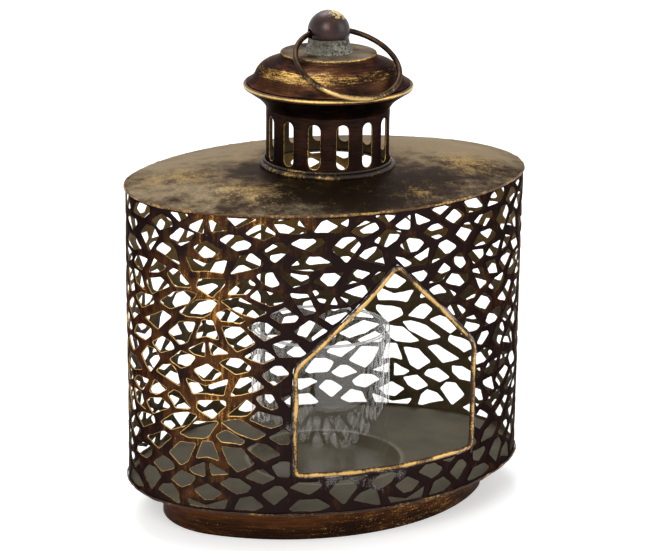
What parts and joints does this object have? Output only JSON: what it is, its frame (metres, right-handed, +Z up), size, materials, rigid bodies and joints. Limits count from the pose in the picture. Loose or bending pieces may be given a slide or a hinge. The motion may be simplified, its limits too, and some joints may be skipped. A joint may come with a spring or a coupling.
{
  "type": "candle lantern",
  "caption": "Oval candle lantern of pierced sheet with a house-shaped window, a slotted chimney, a lid, a carrying ring and a loose glass.",
  "frame": {"origin": "middle of the foot, on the table", "axes": "+Z up, +X along the oval's length, -Y out of the house-shaped window"},
  "size_m": [0.242, 0.176, 0.2902],
  "materials": {
    "wall_metal": "brushed patina",
    "top_metal": "worn patina",
    "floor_metal": "matte",
    "chimney_metal": "dark patina",
    "knob_metal": "satin",
    "brass_wire": "worn",
    "ring_metal": "worn",
    "solder": "rough",
    "glass": "clear"
  },
  "bodies": {
    "lantern": {"foot_band": "wall_metal", "floor_plate": "floor_metal", "floor_seam": "brass_wire", "pierced_wall": "wall_metal", "window_wire": "brass_wire", "window_solder": "solder", "top_plate": "top_metal", "rim_seam": "brass_wire", "collar_lower": "solder", "collar_upper": "solder", "vent_drum": "chimney_metal", "cap_lid": "top_metal", "cap_bead": "brass_wire", "knob_neck": "solder", "knob": "knob_metal"},
    "ring": {"ring_handle": "ring_metal"},
    "glass": {"glass_cup": "glass"}
  },
  "joints": [
    {"name": "ring_swing", "type": "hinge", "parent": "lantern", "child": "ring", "pos_m": [0, 0, 0.27752], "axis": [-1, 0, 0], "range_deg": [0, 238.3]},
    {"name": "glass_lift", "type": "slide", "parent": "lantern", "child": "glass", "axis": [0, 0, 1], "range_m": [0, 0.04]}
  ]
}
